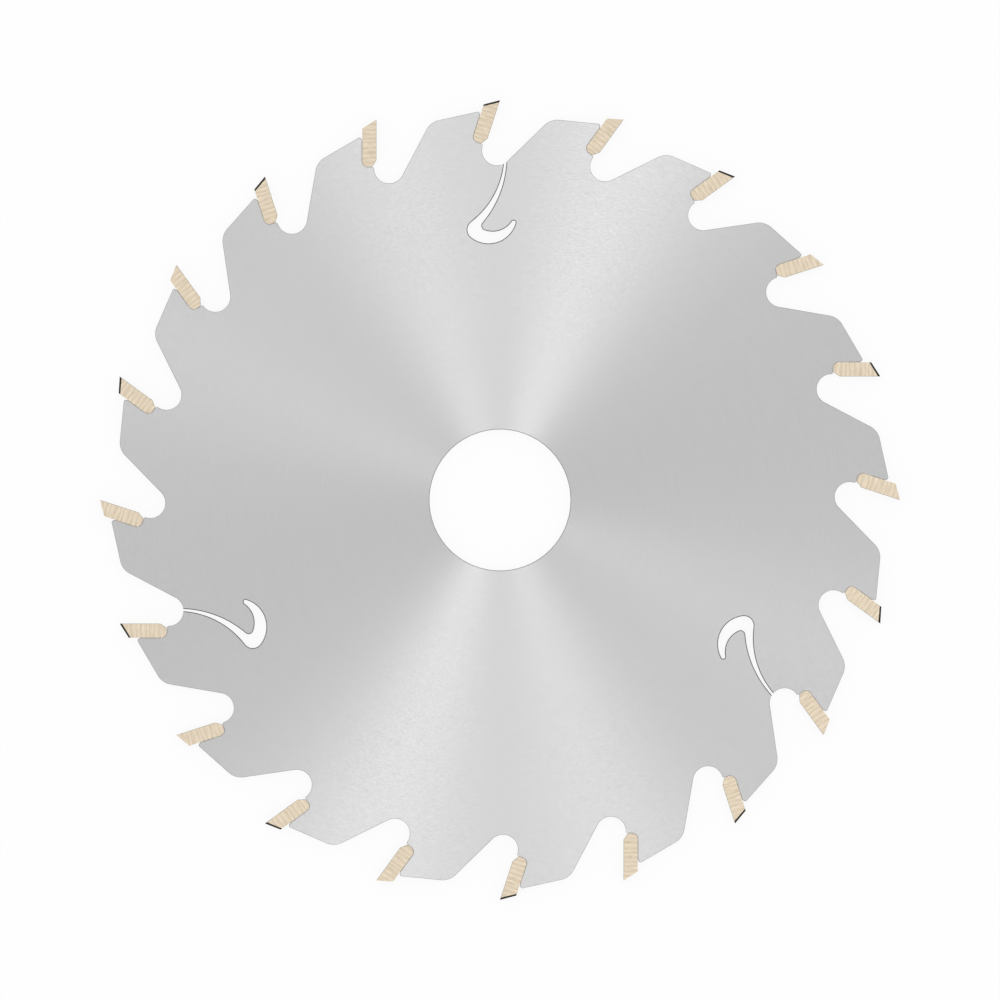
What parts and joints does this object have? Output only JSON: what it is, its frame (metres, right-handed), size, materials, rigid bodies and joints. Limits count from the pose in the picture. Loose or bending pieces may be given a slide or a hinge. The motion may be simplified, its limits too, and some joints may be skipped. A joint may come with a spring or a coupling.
{
  "type": "circular saw blade",
  "caption": "Flat round saw blade: steel plate with hooked teeth, round gullets and curled expansion slots, a carbide tip brazed into a seat on each tooth, and a plain arbor bore.",
  "frame": {"origin": "centre of the arbor bore, halfway through the plate", "axes": "+Z along the blade's axis out of the upper face, +Y from the bore to the cutting corner of the first tooth"},
  "size_m": [0.17, 0.17, 0.0026],
  "materials": {
    "plate_steel": "bare steel, ground in circles about the bore",
    "tip_carbide": "warm grey carbide, fine ground across the tip",
    "braze": "matt silver braze"
  },
  "bodies": {
    "root": {"saw_plate": "plate_steel", "carbide_tip_01": "tip_carbide", "carbide_tip_02": "tip_carbide", "carbide_tip_03": "tip_carbide", "carbide_tip_04": "tip_carbide", "carbide_tip_05": "tip_carbide", "carbide_tip_06": "tip_carbide", "carbide_tip_07": "tip_carbide", "carbide_tip_08": "tip_carbide", "carbide_tip_09": "tip_carbide", "carbide_tip_10": "tip_carbide", "carbide_tip_11": "tip_carbide", "carbide_tip_12": "tip_carbide", "carbide_tip_13": "tip_carbide", "carbide_tip_14": "tip_carbide", "carbide_tip_15": "tip_carbide", "carbide_tip_16": "tip_carbide", "carbide_tip_17": "tip_carbide", "carbide_tip_18": "tip_carbide", "carbide_tip_19": "tip_carbide", "carbide_tip_20": "tip_carbide", "braze_seam_01": "braze", "braze_seam_02": "braze", "braze_seam_03": "braze", "braze_seam_04": "braze", "braze_seam_05": "braze", "braze_seam_06": "braze", "braze_seam_07": "braze", "braze_seam_08": "braze", "braze_seam_09": "braze", "braze_seam_10": "braze", "braze_seam_11": "braze", "braze_seam_12": "braze", "braze_seam_13": "braze", "braze_seam_14": "braze", "braze_seam_15": "braze", "braze_seam_16": "braze", "braze_seam_17": "braze", "braze_seam_18": "braze", "braze_seam_19": "braze", "braze_seam_20": "braze"}
  },
  "joints": []
}
